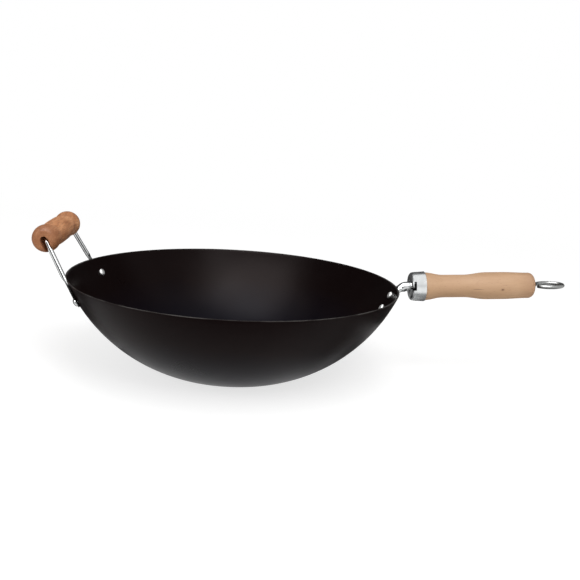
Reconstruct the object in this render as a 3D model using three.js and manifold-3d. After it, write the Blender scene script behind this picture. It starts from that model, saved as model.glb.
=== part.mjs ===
// A flat-bottomed carbon steel wok with a twist-on beech handle and a wire helper handle.
// Millimetres, +Z up. The origin is the centre of the flat base, where it stands on the hob.
// The long handle points along +X and the helper handle stands over the rim on the -X side.
import * as THREE from 'three';
import { mergeVertices } from 'three/addons/utils/BufferGeometryUtils.js';
import Module from 'manifold-3d';

const wasm = await Module();
wasm.setup();

// Fit
const GAP = 0.3; // clearance between pieces that touch

// Bowl
const RIM_RADIUS = 175; // outside of the rim
const BOWL_DEPTH = 96.5; // from the hob to the top of the rim
const FOOT_RADIUS = 74; // where the arc of the wall would meet the hob without its knuckle
const WALL_BULGE = 15; // how far the arc of the wall stands out from its chord
const KNUCKLE_RADIUS = 42; // outside bend between the flat base and the wall
const BOWL_SHEET = 1.6; // thickness of the steel

// Rivets
const RIVET_RADIUS = 2.4; // shank
const RIVET_HEAD_RADIUS = 4;
const RIVET_HEAD_HEIGHT = 2.3;

// Long handle: where it stands
const HANDLE_RISE = THREE.MathUtils.degToRad(3.5); // slope of the handle's axis
const HANDLE_LIFT = 0.7; // of the axis above the rim, at the front of the ferrule
const FERRULE_REACH = 14; // from the rim to the front of the ferrule

// Tang: a steel rod, flattened at the bowl end and held by two rivets, one under the other
const TANG_RADIUS = 5.1;
const TANG_BEND = 8; // inside the bend from the wall to the handle, at the middle of the rod
const TANG_LENGTH = 46; // from the front of the ferrule to the end of the rod
const TANG_TAPER = 11; // length over which the flat becomes round
const PAD_WIDTH = 18;
const PAD_THICKNESS = 2.6;
const UPPER_RIVET_DROP = 12; // from the rim, along the wall
const RIVET_PITCH = 16.6; // between the two rivets, along the wall

// Bayonet catch: a cross pin in the tang, which locks in an L-shaped slot on each side of the ferrule
const PIN_RADIUS = 1;
const PIN_SETBACK = 3.8; // from the front of the ferrule to the middle of the pin
const PIN_RECESS = 0.9; // how far the pin's ends stay inside the ferrule's outside
const LOCK_TURN = THREE.MathUtils.degToRad(26); // from the slot's mouth to its closed end

// Ferrule
const FERRULE_LENGTH = 16;
const FERRULE_FRONT_RADIUS = 15.5;
const FERRULE_REAR_RADIUS = 16.2;
const FERRULE_ROUND = 4; // rounded front edge
const FERRULE_SHEET = 0.8;

// Beech grip behind the ferrule, as lengths that follow each other
const NECK_LENGTH = 21; // narrows from the ferrule
const WAIST_LENGTH = 22;
const FLARE_LENGTH = 26; // widens to the palm
const PALM_LENGTH = 17;
const TAIL_LENGTH = 35; // narrows to the end
const WAIST_RADIUS = 12.3;
const PALM_RADIUS = 14.8;
const TAIL_RADIUS = 13.9;
const TAIL_ROUND = 6;

// Hanging eye, screwed into the end of the grip
const EYE_WIRE_RADIUS = 2.1;
const EYE_LENGTH = 34; // outside
const EYE_WIDTH = 26; // outside
const EYE_STANDOFF = 1.2; // from the grip to the eye
const EYE_SHANK = 30; // length inside the grip

// Helper handle
const HELPER_REACH = 11.4; // from the rim out to the wire inside the grip
const HELPER_RISE = 41.6; // from the rim up to the same wire
const HELPER_WIRE_RADIUS = 2.4;
const LEG_SPACING = 111; // between the legs, at the grip
const LEG_BEND = 7; // bend from the leg into the grip, at the middle of the wire
const LUG_SPREAD = THREE.MathUtils.degToRad(24.4); // each rivet's turn about the bowl from the helper's middle
const LUG_DROP = 18.4; // from the rim to the rivets, along the wall
const LUG_WIDTH = 11; // flattened ends of the wire
const LUG_THICKNESS = 1.8;
const LUG_TAPER = 9; // length over which the flat becomes round

// Wooden spool on the helper wire
const SPOOL_LENGTH = 123;
const SPOOL_BULB_RADIUS = 13.6;
const SPOOL_BARREL_RADIUS = 13;
const SPOOL_GROOVE_RADIUS = 11.7;
const SPOOL_BULB_LENGTH = 26; // from the groove to the end
const SPOOL_BULB_SWELL = 14.3; // from the groove to where the bulb is widest
const SPOOL_END_RADIUS = 7.5; // flat at each end
const SPOOL_PLAY = 0.8; // looseness of the bore on the wire
const SLOT_PLAY = 2.6; // looseness of each leg in the open slot that lets it out

// Facets
const BOWL_SIDES = 96;
const GRIP_SIDES = 30;
const ROD_SIDES = 12;
const ROUND = 2; // squareness of a round section
const FLAT = 6; // squareness of a flattened one

// Finishes
const blackSteel = new THREE.MeshStandardMaterial({ color: 0x1d1b1b, roughness: 0.42, metalness: 0.6 });
const brightSteel = new THREE.MeshStandardMaterial({ color: 0xc4c8ca, roughness: 0.2, metalness: 1 });
const rivetSteel = new THREE.MeshStandardMaterial({ color: 0xd6d6d4, roughness: 0.3, metalness: 1 });
const pinSteel = new THREE.MeshStandardMaterial({ color: 0x4a4a4c, roughness: 0.45, metalness: 1 });
const paleBeech = new THREE.MeshStandardMaterial({ color: 0xd8b08a, roughness: 0.6, metalness: 0 });
const brownWood = new THREE.MeshStandardMaterial({ color: 0xb9784a, roughness: 0.55, metalness: 0 });

// Shape helpers

// A named piece with a finish of its own.
function piece(name, geometry, finish) {
  const mesh = new THREE.Mesh(geometry, finish.clone());
  mesh.name = name;
  return mesh;
}

// A closed geometry as a solid that can be joined and cut.
function solid(geometry) {
  const bare = geometry.clone();
  bare.deleteAttribute('normal');
  bare.deleteAttribute('uv');
  const merged = mergeVertices(bare);
  const index = merged.index.array;
  const corners = [];
  for (let i = 0; i < index.length; i += 3) {
    const [a, b, c] = index.slice(i, i + 3);
    if (a !== b && b !== c && c !== a) corners.push(a, b, c);
  }
  const vertProperties = merged.attributes.position.array;
  return new wasm.Manifold(new wasm.Mesh({ numProp: 3, vertProperties, triVerts: Uint32Array.from(corners) }));
}

// A solid back as a geometry.
function shape(body) {
  const mesh = body.getMesh();
  const geometry = new THREE.BufferGeometry();
  geometry.setAttribute('position', new THREE.BufferAttribute(mesh.vertProperties, 3));
  geometry.setIndex(new THREE.BufferAttribute(mesh.triVerts, 1));
  return geometry;
}

// A geometry with cutters taken away.
function cut(geometry, cutters) {
  let body = solid(geometry);
  for (const cutter of cutters) body = body.subtract(solid(cutter));
  return shape(body);
}

// An outline of [radius, height] pairs turned about Z, with the outside going up.
function turned(outline, sides) {
  const points = outline.map(([radius, height]) => new THREE.Vector2(radius, height));
  return new THREE.LatheGeometry(points, sides).rotateX(Math.PI / 2);
}

// A round bar through a point, as long on both sides of it.
function bar(centre, direction, radius, length, sides = ROD_SIDES) {
  const turn = new THREE.Quaternion().setFromUnitVectors(new THREE.Vector3(0, 1, 0), direction);
  const place = new THREE.Matrix4().compose(centre, turn, new THREE.Vector3(1, 1, 1));
  return new THREE.CylinderGeometry(radius, radius, length, sides).applyMatrix4(place);
}

// [radius, height] pairs on an arc. Angles start straight down and turn outwards.
function arc(centre, radius, from, to, steps) {
  const points = [];
  for (let i = 0; i <= steps; i++) {
    const angle = from + ((to - from) * i) / steps;
    points.push([centre.r + radius * Math.sin(angle), centre.z - radius * Math.cos(angle)]);
  }
  return points;
}

// A smooth step from one size to another, as t goes from 0 to 1.
function ease(from, to, t) {
  const part = Math.min(Math.max(t, 0), 1);
  return from + ((to - from) * (1 - Math.cos(Math.PI * part))) / 2;
}

// A ring of points: an oval when it is ROUND, and a flat with rounded edges when it is FLAT.
// Across, through and the way the rings follow each other are right-handed.
function section(centre, across, through, halfWidth, halfThickness, squareness) {
  const ring = [];
  for (let i = 0; i < ROD_SIDES; i++) {
    const angle = (2 * Math.PI * i) / ROD_SIDES;
    const side = (value) => Math.sign(value) * Math.abs(value) ** (2 / squareness);
    const point = centre.clone();
    point.addScaledVector(across, halfWidth * side(Math.cos(angle)));
    point.addScaledVector(through, halfThickness * side(Math.sin(angle)));
    ring.push(point);
  }
  return ring;
}

// A skin over rings of points that follow each other. An open run is capped at both ends.
function loft(rings, closed = false) {
  const sides = rings[0].length;
  const points = rings.flat();
  const index = [];
  const spans = closed ? rings.length : rings.length - 1;
  for (let i = 0; i < spans; i++) {
    for (let j = 0; j < sides; j++) {
      const a = i * sides + j;
      const b = i * sides + ((j + 1) % sides);
      const next = ((i + 1) % rings.length) * sides;
      const c = next + ((j + 1) % sides);
      const d = next + j;
      index.push(a, b, c, a, c, d);
    }
  }
  if (!closed) {
    const last = (rings.length - 1) * sides;
    for (let j = 1; j < sides - 1; j++) {
      index.push(0, j + 1, j);
      index.push(last, last + j, last + j + 1);
    }
  }
  const geometry = new THREE.BufferGeometry().setFromPoints(points);
  geometry.setIndex(index);
  return geometry;
}

// Bowl

const wallChord = Math.hypot(RIM_RADIUS - FOOT_RADIUS, BOWL_DEPTH);
const wallRadius = (wallChord ** 2 / 4 + WALL_BULGE ** 2) / (2 * WALL_BULGE);
const chordSlope = Math.atan2(BOWL_DEPTH, RIM_RADIUS - FOOT_RADIUS);
const wallCentre = {
  r: (RIM_RADIUS + FOOT_RADIUS) / 2 - (wallRadius - WALL_BULGE) * Math.sin(chordSlope),
  z: BOWL_DEPTH / 2 + (wallRadius - WALL_BULGE) * Math.cos(chordSlope),
};
const rimAngle = Math.atan2(RIM_RADIUS - wallCentre.r, wallCentre.z - BOWL_DEPTH);
const innerRimAngle = Math.acos((wallCentre.z - BOWL_DEPTH) / (wallRadius - BOWL_SHEET));
const kneeAngle = Math.acos((wallCentre.z - KNUCKLE_RADIUS) / (wallRadius - KNUCKLE_RADIUS));
const knuckleCentre = {
  r: wallCentre.r + (wallRadius - KNUCKLE_RADIUS) * Math.sin(kneeAngle),
  z: KNUCKLE_RADIUS,
};

// The wall's angle at a distance below the rim, measured along the wall.
function wallAngle(drop) {
  return rimAngle - drop / wallRadius;
}

// A place on the outside of the wall, and the way it faces there.
function onWall(turn, drop) {
  const angle = wallAngle(drop);
  const [[radius, height]] = arc(wallCentre, wallRadius, angle, angle, 1);
  const point = new THREE.Vector3(radius * Math.cos(turn), radius * Math.sin(turn), height);
  const facing = new THREE.Vector3(
    Math.sin(angle) * Math.cos(turn),
    Math.sin(angle) * Math.sin(turn),
    -Math.cos(angle),
  );
  return { point, facing };
}

// The cutter for a rivet's hole, through the bowl and the flat on its outside.
function rivetDrill(seat) {
  return bar(seat.point, seat.facing, RIVET_RADIUS + GAP, 4 * (BOWL_SHEET + PAD_THICKNESS));
}

function makeBowl(rivetSeats) {
  const outline = [
    [0, 0],
    ...arc(knuckleCentre, KNUCKLE_RADIUS, 0, kneeAngle, 3),
    ...arc(wallCentre, wallRadius, kneeAngle, rimAngle, 12).slice(1),
    ...arc(wallCentre, wallRadius - BOWL_SHEET, innerRimAngle, kneeAngle, 12),
    ...arc(knuckleCentre, KNUCKLE_RADIUS - BOWL_SHEET, kneeAngle, 0, 3).slice(1),
    [0, BOWL_SHEET],
  ];
  return piece('bowl', cut(turned(outline, BOWL_SIDES), rivetSeats.map(rivetDrill)), blackSteel);
}

// Rivets

// A rivet through the bowl and a flat of this thickness on its outside.
function makeRivet(name, seat, thickness) {
  const dome = (from, to, level, sign) => {
    const points = [];
    for (let i = 0; i <= 3; i++) {
      const angle = from + ((to - from) * i) / 3;
      points.push([RIVET_HEAD_RADIUS * Math.cos(angle), level + sign * RIVET_HEAD_HEIGHT * Math.sin(angle)]);
    }
    return points;
  };
  const inside = -BOWL_SHEET - GAP;
  const outside = GAP + thickness + GAP;
  const outline = [
    ...dome(Math.PI / 2, 0, inside, -1),
    [RIVET_RADIUS, inside],
    [RIVET_RADIUS, outside],
    ...dome(0, Math.PI / 2, outside, 1),
  ];
  outline[0][0] = 0;
  outline[outline.length - 1][0] = 0;
  const rivet = piece(name, turned(outline, ROD_SIDES), rivetSteel);
  rivet.position.copy(seat.point);
  rivet.quaternion.setFromUnitVectors(new THREE.Vector3(0, 0, 1), seat.facing);
  return rivet;
}

// Long handle

const handle = new THREE.Group();
handle.position.set(RIM_RADIUS + FERRULE_REACH, 0, BOWL_DEPTH + HANDLE_LIFT);
handle.rotation.y = -HANDLE_RISE;
handle.updateMatrix();

const pinDirection = new THREE.Vector3(0, -Math.cos(LOCK_TURN), Math.sin(LOCK_TURN));
const pinCentre = new THREE.Vector3(PIN_SETBACK, 0, 0);
const slotHalfWidth = PIN_RADIUS + GAP;

// The tang lies on the wall, bends away over the rim and runs into the handle along its axis.
function makeTang(upperSeat, lowerSeat) {
  const faceRadius = wallRadius + GAP;
  const bendRadius = TANG_BEND + TANG_RADIUS;
  const along = { x: Math.cos(HANDLE_RISE), z: Math.sin(HANDLE_RISE) };
  const top = {
    x: handle.position.x - TANG_RADIUS * along.z,
    z: handle.position.z + TANG_RADIUS * along.x,
  };
  // The bend's centre lies one bend below the rod's top line and one bend outside the wall.
  const fromWall = {
    x: top.x + bendRadius * along.z - wallCentre.r,
    z: top.z - bendRadius * along.x - wallCentre.z,
  };
  const ahead = fromWall.x * along.x + fromWall.z * along.z;
  const apart = fromWall.x ** 2 + fromWall.z ** 2;
  const slide = -ahead + Math.sqrt(ahead ** 2 - apart + (faceRadius + bendRadius) ** 2);
  const bendCentre = {
    x: wallCentre.r + fromWall.x + slide * along.x,
    z: wallCentre.z + fromWall.z + slide * along.z,
  };
  const leaveAngle = Math.atan2(bendCentre.x - wallCentre.r, wallCentre.z - bendCentre.z);
  const upperAngle = wallAngle(UPPER_RIVET_DROP);

  // Distances along the face that lies on the wall, from the upper rivet.
  const leave = (leaveAngle - upperAngle) * faceRadius;
  const bendEnd = leave + (leaveAngle - HANDLE_RISE) * bendRadius;
  const flatEnd = RIVET_HEAD_RADIUS + GAP;
  const bendEndX = bendCentre.x - bendRadius * along.z;
  const rodEnd = bendEnd + (top.x + TANG_LENGTH * along.x - bendEndX) / along.x;

  // The place and slope of that face.
  const faceAt = (distance) => {
    if (distance < leave) {
      const slope = upperAngle + distance / faceRadius;
      const [[x, z]] = arc(wallCentre, faceRadius, slope, slope, 1);
      return { x, z, slope };
    }
    const slope = Math.max(leaveAngle - (distance - leave) / bendRadius, HANDLE_RISE);
    const beyond = Math.max(distance - bendEnd, 0);
    const x = bendCentre.x - bendRadius * Math.sin(slope) + beyond * along.x;
    const z = bendCentre.z + bendRadius * Math.cos(slope) + beyond * along.z;
    return { x, z, slope };
  };
  const padRadius = PAD_WIDTH / 2;
  const ringAt = (distance, halfWidth) => {
    const { x, z, slope } = faceAt(distance);
    const round = (distance - flatEnd) / TANG_TAPER;
    const halfThickness = ease(PAD_THICKNESS / 2, TANG_RADIUS, round);
    const across = new THREE.Vector3(0, -1, 0);
    const away = new THREE.Vector3(Math.sin(slope), 0, -Math.cos(slope));
    const centre = new THREE.Vector3(x, 0, z).addScaledVector(away, halfThickness);
    const width = halfWidth ?? ease(padRadius, TANG_RADIUS, round);
    return section(centre, across, away, width, halfThickness, ease(FLAT, ROUND, round));
  };

  // The flat ends in a half circle about the lower rivet.
  const rings = [];
  for (let i = 1; i <= 5; i++) {
    const turn = (i * Math.PI) / 10;
    rings.push(ringAt(-RIVET_PITCH - padRadius * Math.cos(turn), padRadius * Math.sin(turn)));
  }
  const stops = [0, flatEnd, rodEnd];
  for (let i = 1; i <= 6; i++) {
    stops.push(flatEnd + (TANG_TAPER * i) / 6);
    stops.push(leave + ((bendEnd - leave) * i) / 6);
  }
  stops.sort((a, b) => a - b);
  for (const stop of stops) rings.push(ringAt(stop));

  const pinHole = bar(pinCentre, pinDirection, slotHalfWidth, 4 * TANG_RADIUS).applyMatrix4(handle.matrix);
  const holes = [pinHole, rivetDrill(upperSeat), rivetDrill(lowerSeat)];
  return piece('handle_tang', cut(loft(rings), holes), brightSteel);
}

// The outside of the ferrule at a distance behind its front.
function ferruleRadius(distance) {
  if (distance < FERRULE_ROUND) {
    const left = 1 - distance / FERRULE_ROUND;
    return FERRULE_FRONT_RADIUS - FERRULE_ROUND * (1 - Math.sqrt(1 - left ** 2));
  }
  const part = (distance - FERRULE_ROUND) / (FERRULE_LENGTH - FERRULE_ROUND);
  return FERRULE_FRONT_RADIUS + (FERRULE_REAR_RADIUS - FERRULE_FRONT_RADIUS) * part;
}

function makeCrossPin() {
  const length = 2 * (ferruleRadius(PIN_SETBACK) - PIN_RECESS);
  return piece('cross_pin', bar(pinCentre, pinDirection, PIN_RADIUS, length), pinSteel);
}

function makeFerrule() {
  const hole = TANG_RADIUS + GAP;
  const corner = (inset) => {
    const points = [];
    for (let i = 0; i <= 4; i++) {
      const angle = (i * Math.PI) / 8;
      const reach = FERRULE_ROUND - inset;
      points.push([
        FERRULE_FRONT_RADIUS - FERRULE_ROUND + reach * Math.sin(angle),
        FERRULE_ROUND - reach * Math.cos(angle),
      ]);
    }
    return points;
  };
  const outline = [
    [hole, FERRULE_SHEET],
    [hole, 0],
    ...corner(0),
    [FERRULE_REAR_RADIUS, FERRULE_LENGTH],
    [FERRULE_REAR_RADIUS - FERRULE_SHEET, FERRULE_LENGTH],
    ...corner(FERRULE_SHEET).reverse(),
    [hole, FERRULE_SHEET],
  ];
  const reach = 2 * FERRULE_REAR_RADIUS;
  // The mouth of the slot runs in from the front, level on both sides.
  const mouth = new THREE.BoxGeometry(2 * PIN_SETBACK, 2 * reach, 2 * slotHalfWidth);
  // The locking run turns from the mouth to the pin, on both sides of the axis.
  const run = [0, Math.PI].map((half) => {
    const wedge = new THREE.Shape();
    wedge.moveTo(0, 0);
    for (const turn of [0, LOCK_TURN]) {
      wedge.lineTo(reach * Math.cos(half + Math.PI - turn), reach * Math.sin(half + Math.PI - turn));
    }
    const settings = { depth: 2 * slotHalfWidth, bevelEnabled: false };
    const sector = new THREE.ExtrudeGeometry(wedge, settings).rotateX(Math.PI / 2).rotateZ(Math.PI / 2);
    return sector.translate(PIN_SETBACK - slotHalfWidth, 0, 0);
  });
  const closedEnd = bar(pinCentre, pinDirection, slotHalfWidth, 2 * reach);
  const shell = turned(outline, GRIP_SIDES).rotateY(Math.PI / 2);
  return piece('ferrule', cut(shell, [mouth, ...run, closedEnd]), brightSteel);
}

const gripEnd = FERRULE_LENGTH + NECK_LENGTH + WAIST_LENGTH + FLARE_LENGTH + PALM_LENGTH + TAIL_LENGTH;

function makeHandleGrip() {
  const inFerrule = (distance) => ferruleRadius(distance) - FERRULE_SHEET - GAP;
  const front = PIN_SETBACK + PIN_RADIUS + 2 * GAP;
  const outline = [
    [0, TANG_LENGTH + GAP],
    [TANG_RADIUS + GAP, TANG_LENGTH + GAP],
    [TANG_RADIUS + GAP, front],
    [inFerrule(front), front],
  ];
  let reached = FERRULE_LENGTH;
  let radius = inFerrule(FERRULE_LENGTH);
  outline.push([radius, reached]);
  const stretch = (length, next, steps) => {
    for (let i = 1; i <= steps; i++) {
      outline.push([ease(radius, next, i / steps), reached + (length * i) / steps]);
    }
    reached += length;
    radius = next;
  };
  stretch(NECK_LENGTH, WAIST_RADIUS, 5);
  stretch(WAIST_LENGTH, WAIST_RADIUS, 1);
  stretch(FLARE_LENGTH, PALM_RADIUS, 5);
  stretch(PALM_LENGTH, PALM_RADIUS, 1);
  stretch(TAIL_LENGTH - TAIL_ROUND, TAIL_RADIUS, 4);
  for (let i = 1; i <= 4; i++) {
    const angle = (i * Math.PI) / 8;
    outline.push([TAIL_RADIUS - TAIL_ROUND * (1 - Math.cos(angle)), reached + TAIL_ROUND * Math.sin(angle)]);
  }
  outline.push([EYE_WIRE_RADIUS + GAP, gripEnd]);
  outline.push([EYE_WIRE_RADIUS + GAP, gripEnd - EYE_SHANK - GAP]);
  outline.push([0, gripEnd - EYE_SHANK - GAP]);
  return piece('handle_grip', turned(outline, GRIP_SIDES).rotateY(Math.PI / 2), paleBeech);
}

function makeHangingEye() {
  const halfLength = EYE_LENGTH / 2 - EYE_WIRE_RADIUS;
  const halfWidth = EYE_WIDTH / 2 - EYE_WIRE_RADIUS;
  const start = gripEnd + EYE_STANDOFF + EYE_WIRE_RADIUS;
  const rings = [];
  const steps = 32;
  for (let i = 0; i < steps; i++) {
    const angle = (2 * Math.PI * i) / steps;
    const x = start + halfLength * (1 - Math.cos(angle));
    const centre = new THREE.Vector3(x, halfWidth * Math.sin(angle), 0);
    const outward = new THREE.Vector3(-halfWidth * Math.cos(angle), halfLength * Math.sin(angle), 0).normalize();
    const up = new THREE.Vector3(0, 0, 1);
    rings.push(section(centre, outward, up, EYE_WIRE_RADIUS, EYE_WIRE_RADIUS, ROUND));
  }
  const shankStart = gripEnd - EYE_SHANK;
  const shankMiddle = new THREE.Vector3((shankStart + start) / 2, 0, 0);
  const shank = bar(shankMiddle, new THREE.Vector3(1, 0, 0), EYE_WIRE_RADIUS, start - shankStart);
  return piece('hanging_eye', shape(solid(loft(rings, true)).add(solid(shank))), brightSteel);
}

// Helper handle

const rimFacing = onWall(0, 0).facing;
const helperWire = new THREE.Vector3(-RIM_RADIUS - HELPER_REACH, 0, BOWL_DEPTH + HELPER_RISE);

// A run of points through corners, with each inner corner rounded to its radius.
function roundedRun(corners, bendSteps) {
  const run = [corners[0].point.clone()];
  for (let i = 1; i < corners.length - 1; i++) {
    const { point, radius } = corners[i];
    const back = corners[i - 1].point.clone().sub(point).normalize();
    const on = corners[i + 1].point.clone().sub(point).normalize();
    const half = back.angleTo(on) / 2;
    const centre = back.clone().add(on).setLength(radius / Math.sin(half)).add(point);
    const from = back.clone().multiplyScalar(radius / Math.tan(half)).add(point).sub(centre);
    const axis = from.clone().cross(back).normalize();
    const sweep = Math.PI - 2 * half;
    for (let j = 0; j <= bendSteps; j++) {
      run.push(from.clone().applyAxisAngle(axis, (-sweep * j) / bendSteps).add(centre));
    }
  }
  run.push(corners[corners.length - 1].point.clone());
  return run;
}

// The near leg's corners, from its lug on the wall to the middle of the grip.
function nearLeg() {
  const seat = onWall(Math.PI + LUG_SPREAD, LUG_DROP);
  const level = seat.point.clone().addScaledVector(seat.facing, GAP + LUG_THICKNESS / 2);
  const corner = new THREE.Vector3(helperWire.x, -LEG_SPACING / 2, helperWire.z);
  // The flat end of the wire just clears the rim on its way up.
  const part = (BOWL_DEPTH - level.z) / (corner.z - level.z);
  const passY = level.y + (corner.y - level.y) * part;
  const passRadius = RIM_RADIUS + (LUG_THICKNESS / 2 + GAP) / Math.sin(rimAngle);
  const pass = new THREE.Vector3(-Math.sqrt(passRadius ** 2 - passY ** 2), passY, BOWL_DEPTH);
  const upWall = pass.clone().sub(seat.point);
  upWall.addScaledVector(seat.facing, -upWall.dot(seat.facing)).normalize();
  return { seat, pass, corner, upWall };
}

function makeHelperWire(leg, seats) {
  const lugRadius = LUG_WIDTH / 2;
  const { seat, pass, corner, upWall } = leg;
  const across = new THREE.Vector3().crossVectors(seat.facing, upWall);
  const lugMiddle = seat.point.clone().addScaledVector(seat.facing, GAP + LUG_THICKNESS / 2);
  const half = [];

  // The lug lies on the wall, with a round end about the rivet.
  for (let i = 1; i <= 5; i++) {
    const turn = (i * Math.PI) / 10;
    const centre = lugMiddle.clone().addScaledVector(upWall, -lugRadius * Math.cos(turn));
    half.push(section(centre, across, seat.facing, lugRadius * Math.sin(turn), LUG_THICKNESS / 2, FLAT));
  }

  // It narrows to the wire's width below the rim and stays flat until it is past it. Then it becomes round
  // on its way up to the grip, and runs through it.
  const up = corner.clone().sub(pass).normalize();
  const lugEnd = lugMiddle.clone().addScaledVector(upWall, RIVET_HEAD_RADIUS + GAP);
  const run = [];
  const narrowSteps = 3;
  const taperSteps = 5;
  for (let i = 0; i < narrowSteps; i++) run.push(lugEnd.clone().lerp(pass, i / narrowSteps));
  for (let i = 0; i < taperSteps; i++) run.push(pass.clone().addScaledVector(up, (LUG_TAPER * i) / taperSteps));
  const taperEnd = pass.clone().addScaledVector(up, LUG_TAPER);
  run.push(...roundedRun([{ point: taperEnd }, { point: corner, radius: LEG_BEND }, { point: helperWire }], 6));
  let through = seat.facing.clone();
  run.forEach((point, i) => {
    const along = new THREE.Vector3();
    if (i > 0) along.add(point.clone().sub(run[i - 1]).normalize());
    if (i < run.length - 1) along.add(run[i + 1].clone().sub(point).normalize());
    along.normalize();
    through = through.clone().addScaledVector(along, -through.dot(along)).normalize();
    const sideways = new THREE.Vector3().crossVectors(through, along);
    const round = (i - narrowSteps) / taperSteps;
    const halfWidth = ease(lugRadius, HELPER_WIRE_RADIUS, i / narrowSteps);
    const halfThickness = ease(LUG_THICKNESS / 2, HELPER_WIRE_RADIUS, round);
    half.push(section(point, sideways, through, halfWidth, halfThickness, ease(FLAT, ROUND, round)));
  });

  // The far half mirrors the near one, and the ring in the middle is shared.
  const mirror = (ring) => ring.map((point) => new THREE.Vector3(point.x, -point.y, point.z));
  const farHalf = half.slice(0, -1).reverse().map(mirror);
  return piece('helper_wire', cut(loft([...half, ...farHalf]), seats.map(rivetDrill)), brightSteel);
}

function makeHelperGrip(leg) {
  const halfLength = SPOOL_LENGTH / 2;
  const groove = halfLength - SPOOL_BULB_LENGTH;
  const bulbMiddle = groove + SPOOL_BULB_SWELL;
  const bore = HELPER_WIRE_RADIUS + GAP + SPOOL_PLAY;
  const slotWidth = 2 * (HELPER_WIRE_RADIUS + GAP) + SLOT_PLAY;
  const half = [];
  for (let i = 0; i <= 4; i++) {
    half.push([ease(SPOOL_BARREL_RADIUS, SPOOL_GROOVE_RADIUS, (i / 4) ** 2), (groove * i) / 4]);
  }
  for (let i = 1; i <= 4; i++) {
    const height = groove + ((bulbMiddle - groove) * i) / 4;
    half.push([ease(SPOOL_GROOVE_RADIUS, SPOOL_BULB_RADIUS, i / 4), height]);
  }
  for (let i = 1; i <= 5; i++) {
    const angle = (i * Math.PI) / 10;
    const radius = SPOOL_END_RADIUS + (SPOOL_BULB_RADIUS - SPOOL_END_RADIUS) * Math.cos(angle);
    half.push([radius, bulbMiddle + (halfLength - bulbMiddle) * Math.sin(angle)]);
  }
  const lower = half.slice(1).reverse().map(([radius, height]) => [radius, -height]);
  const outline = [
    [bore, halfLength],
    [bore, -halfLength],
    ...lower,
    ...half,
    [bore, halfLength],
  ];
  const spool = turned(outline, GRIP_SIDES).rotateX(-Math.PI / 2);

  // The spool hangs on the wire. Its slots are wider than the wire, so it can rock a little,
  // and it rests with each leg against the side of the slot that is nearer the bowl.
  const legLean = Math.atan2(leg.pass.x - leg.corner.x, leg.corner.z - leg.pass.z);
  const spare = SLOT_PLAY / 2 - SPOOL_PLAY * Math.sin(legLean);
  const slotLean = legLean - Math.asin(spare / SPOOL_BULB_RADIUS);
  const slotStart = LEG_SPACING / 2 - LEG_BEND;
  const slots = [-1, 1].map((side) => {
    const depth = halfLength - slotStart + GAP;
    const slot = new THREE.BoxGeometry(slotWidth, depth, 2 * SPOOL_BULB_RADIUS);
    slot.translate(0, side * (slotStart + depth / 2), -SPOOL_BULB_RADIUS);
    return slot.rotateY(-slotLean);
  });
  const grip = piece('helper_grip', cut(spool, slots), brownWood);
  grip.position.copy(helperWire);
  grip.position.z -= SPOOL_PLAY;
  return grip;
}

// Assembly

const upperSeat = onWall(0, UPPER_RIVET_DROP);
const lowerSeat = onWall(0, UPPER_RIVET_DROP + RIVET_PITCH);
const leg = nearLeg();
const farSeat = onWall(Math.PI - LUG_SPREAD, LUG_DROP);

handle.add(makeFerrule(), makeHandleGrip(), makeHangingEye(), makeCrossPin());

const wok = new THREE.Group();
wok.add(
  makeBowl([upperSeat, lowerSeat, leg.seat, farSeat]),
  makeTang(upperSeat, lowerSeat),
  makeRivet('handle_rivet_upper', upperSeat, PAD_THICKNESS),
  makeRivet('handle_rivet_lower', lowerSeat, PAD_THICKNESS),
  handle,
  makeHelperWire(leg, [leg.seat, farSeat]),
  makeRivet('helper_rivet_near', leg.seat, LUG_THICKNESS),
  makeRivet('helper_rivet_far', farSeat, LUG_THICKNESS),
  makeHelperGrip(leg),
);

export default wok;
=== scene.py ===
# %% [markdown]
# # A flat-bottomed wok with two handles
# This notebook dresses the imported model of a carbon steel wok: a black bowl, a long beech handle
# that twists onto a steel rod, and a short wire handle with a brown wooden spool.
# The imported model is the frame. Its solids say where every piece goes and how the handles move, so
# each piece below is modelled at its real place, in metres, and then hung on the body that carries it.

# %% Load the frame
import math

import bmesh
import bpy
from mathutils import Matrix, Quaternion, Vector


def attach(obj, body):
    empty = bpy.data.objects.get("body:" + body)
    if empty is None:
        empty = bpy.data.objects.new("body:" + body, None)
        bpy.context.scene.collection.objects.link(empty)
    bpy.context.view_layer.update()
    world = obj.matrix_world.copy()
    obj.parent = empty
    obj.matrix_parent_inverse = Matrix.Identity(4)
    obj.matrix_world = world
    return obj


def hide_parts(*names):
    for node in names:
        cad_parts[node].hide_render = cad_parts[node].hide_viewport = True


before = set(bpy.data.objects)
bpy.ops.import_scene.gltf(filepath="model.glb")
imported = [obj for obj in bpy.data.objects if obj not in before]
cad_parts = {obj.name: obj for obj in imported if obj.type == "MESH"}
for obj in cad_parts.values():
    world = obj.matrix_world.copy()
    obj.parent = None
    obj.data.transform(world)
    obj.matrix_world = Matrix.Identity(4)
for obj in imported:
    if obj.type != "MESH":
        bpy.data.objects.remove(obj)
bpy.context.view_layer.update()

# %% [markdown]
# ## The camera
# The picture was taken from the side, a little above the rim, so the far half of the bowl's inside
# shows. A camera can be placed by eye, or from a few facts: where it stands, what it looks at, how
# far it leans, and how long its lens is. The facts are easier to check, so they are written out here.
# The lens is given in pixels of the square picture and turned into millimetres of a 36 mm sensor.

# %% Camera
PICTURE_SIDE = 580
FOCAL_PIXELS = 800
SENSOR_MM = 36
CAMERA_PLACE = Vector((-0.0084, -0.8379, 0.2746))
CAMERA_AIM = Vector((0.0596, 0.0, 0.0865))
CAMERA_LEAN = math.radians(3.9)

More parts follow.
